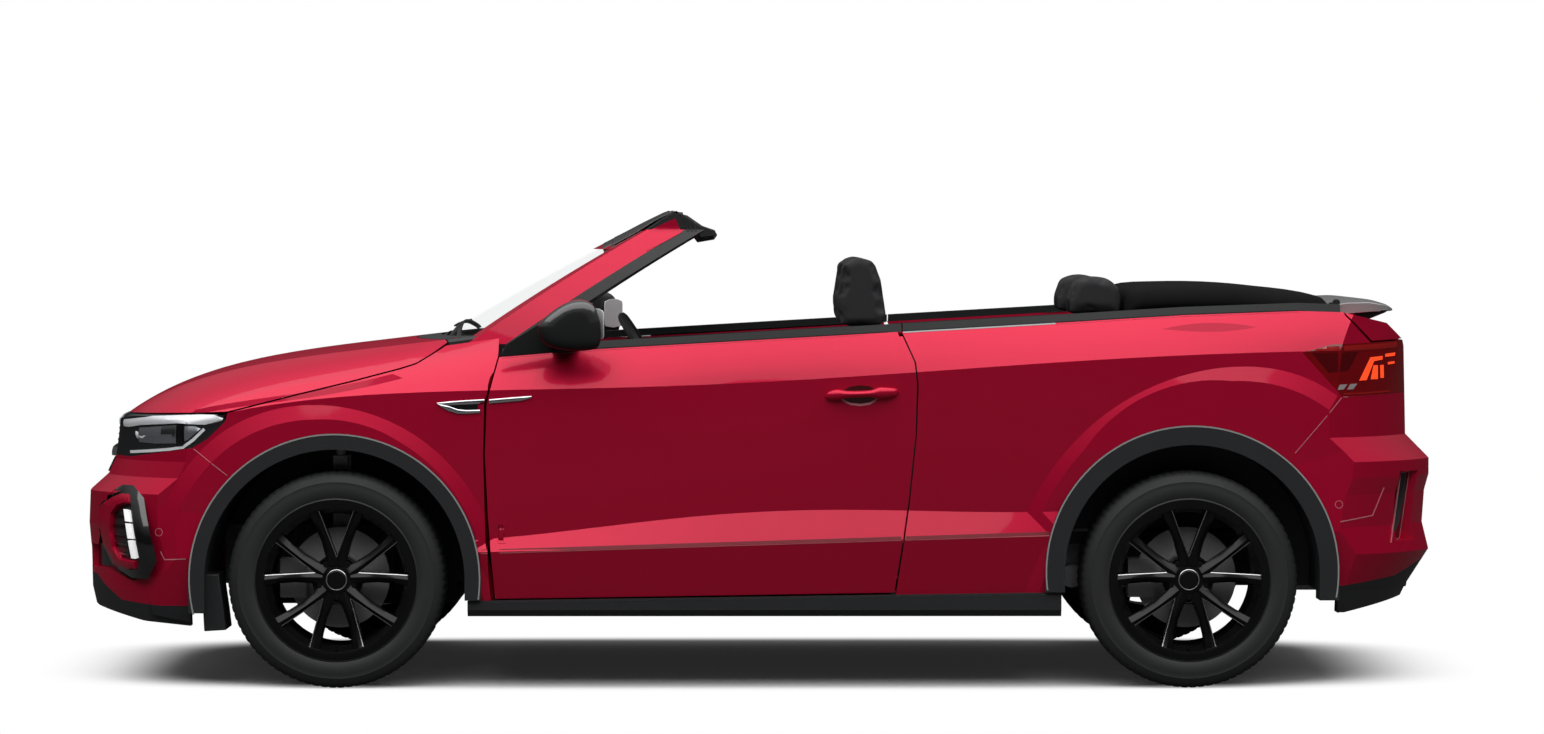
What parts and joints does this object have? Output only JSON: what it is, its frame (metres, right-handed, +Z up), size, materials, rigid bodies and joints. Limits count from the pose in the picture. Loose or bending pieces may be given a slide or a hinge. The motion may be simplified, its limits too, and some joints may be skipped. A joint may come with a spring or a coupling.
{
  "type": "two-door open car",
  "caption": "Compact open-topped road car with folded soft top, opening doors, bonnet and boot lid, steered front wheels and free-turning wheels.",
  "frame": {"origin": "on the ground, halfway along the body and on its centre line", "axes": "+X towards the tail, +Y to the car's right, +Z up"},
  "size_m": [4.2653, 2, 1.4689],
  "materials": {
    "paint": "gloss metallic",
    "black_plastic": "grained",
    "gloss_black": "gloss",
    "glass": "clear",
    "lamp_clear": "clear",
    "lamp_red": "clear",
    "underbody": "satin",
    "trim": "grained",
    "upholstery": "woven",
    "soft_top": "woven",
    "tyre": "matte",
    "wheel": "gloss black",
    "iron": "machined",
    "steel": "satin",
    "engine": "cast"
  },
  "bodies": {
    "chassis": {"front_wings": "paint", "rear_quarters": "paint", "front_bumper": "paint", "rear_bumper": "paint", "windscreen_frame": "paint", "grilles": "gloss_black", "frame_trim": "trim", "windscreen": "glass", "cowl": "black_plastic", "front_lip": "black_plastic", "rear_diffuser": "black_plastic", "arch_trims": "black_plastic", "sill_trims": "black_plastic", "quarter_mouldings": "black_plastic", "wheel_housings": "black_plastic", "headlamps": "lamp_clear", "tail_lamps": "lamp_red", "floor_pan": "underbody", "front_frame": "underbody", "engine_block": "engine", "rear_axle": "iron", "exhaust_and_tank": "steel", "dashboard": "trim", "front_seat_shells": "trim", "rear_trim": "trim", "front_seat_pads": "upholstery", "rear_seat_pads": "upholstery", "folded_top": "soft_top"},
    "bonnet": {"bonnet": "paint"},
    "door_left": {"door_left": "paint", "mirror_left": "gloss_black"},
    "door_right": {"door_right": "paint", "mirror_right": "gloss_black"},
    "boot_lid": {"boot_lid": "paint", "boot_spoiler": "gloss_black"},
    "knuckle_left": {"knuckle_left": "iron"},
    "knuckle_right": {"knuckle_right": "iron"},
    "steering_wheel": {"steering_wheel": "trim"},
    "wheel_front_left": {"tyre_front_left": "tyre", "rim_front_left": "wheel", "brake_disc_front_left": "iron"},
    "wheel_front_right": {"tyre_front_right": "tyre", "rim_front_right": "wheel", "brake_disc_front_right": "iron"},
    "wheel_rear_left": {"tyre_rear_left": "tyre", "rim_rear_left": "wheel", "brake_disc_rear_left": "iron"},
    "wheel_rear_right": {"tyre_rear_right": "tyre", "rim_rear_right": "wheel", "brake_disc_rear_right": "iron"}
  },
  "joints": [
    {"name": "steer_left", "type": "hinge", "parent": "chassis", "child": "knuckle_left", "pos_m": [-1.304, -0.69, 0.335], "axis": [0, 0, 1], "range_deg": [-36, 36]},
    {"name": "steer_right", "type": "hinge", "parent": "chassis", "child": "knuckle_right", "pos_m": [-1.304, 0.69, 0.335], "axis": [0, 0, 1], "range_deg": [-36, 36]},
    {"name": "steering_wheel_turn", "type": "hinge", "parent": "chassis", "child": "steering_wheel", "pos_m": [-0.345, -0.37, 0.993], "axis": [0.848, 0, 0.5299], "range_deg": [-510, 510]},
    {"name": "front_left_spin", "type": "hinge", "parent": "knuckle_left", "child": "wheel_front_left", "pos_m": [-1.304, -0.77, 0.335], "axis": [0, 1, 0], "continuous": true},
    {"name": "front_right_spin", "type": "hinge", "parent": "knuckle_right", "child": "wheel_front_right", "pos_m": [-1.304, 0.77, 0.335], "axis": [0, 1, 0], "continuous": true},
    {"name": "rear_left_spin", "type": "hinge", "parent": "chassis", "child": "wheel_rear_left", "pos_m": [1.326, -0.77, 0.335], "axis": [0, 1, 0], "continuous": true},
    {"name": "rear_right_spin", "type": "hinge", "parent": "chassis", "child": "wheel_rear_right", "pos_m": [1.326, 0.77, 0.335], "axis": [0, 1, 0], "continuous": true},
    {"name": "door_left_hinge", "type": "hinge", "parent": "chassis", "child": "door_left", "pos_m": [-0.796, -0.868, 0.68], "axis": [0, 0, -1], "range_deg": [0, 65]},
    {"name": "door_right_hinge", "type": "hinge", "parent": "chassis", "child": "door_right", "pos_m": [-0.796, 0.868, 0.68], "axis": [0, 0, 1], "range_deg": [0, 65]},
    {"name": "bonnet_hinge", "type": "hinge", "parent": "chassis", "child": "bonnet", "pos_m": [-0.945, 0, 1.07], "axis": [0, 1, 0], "range_deg": [0, 60]},
    {"name": "boot_lid_hinge", "type": "hinge", "parent": "chassis", "child": "boot_lid", "pos_m": [1.8, 0, 1.188], "axis": [0, -1, 0], "range_deg": [0, 80]}
  ],
  "couplings": [
    {"joint": "steer_right", "follows": "steer_left", "ratio": 1},
    {"joint": "steering_wheel_turn", "follows": "steer_left", "ratio": 14}
  ]
}
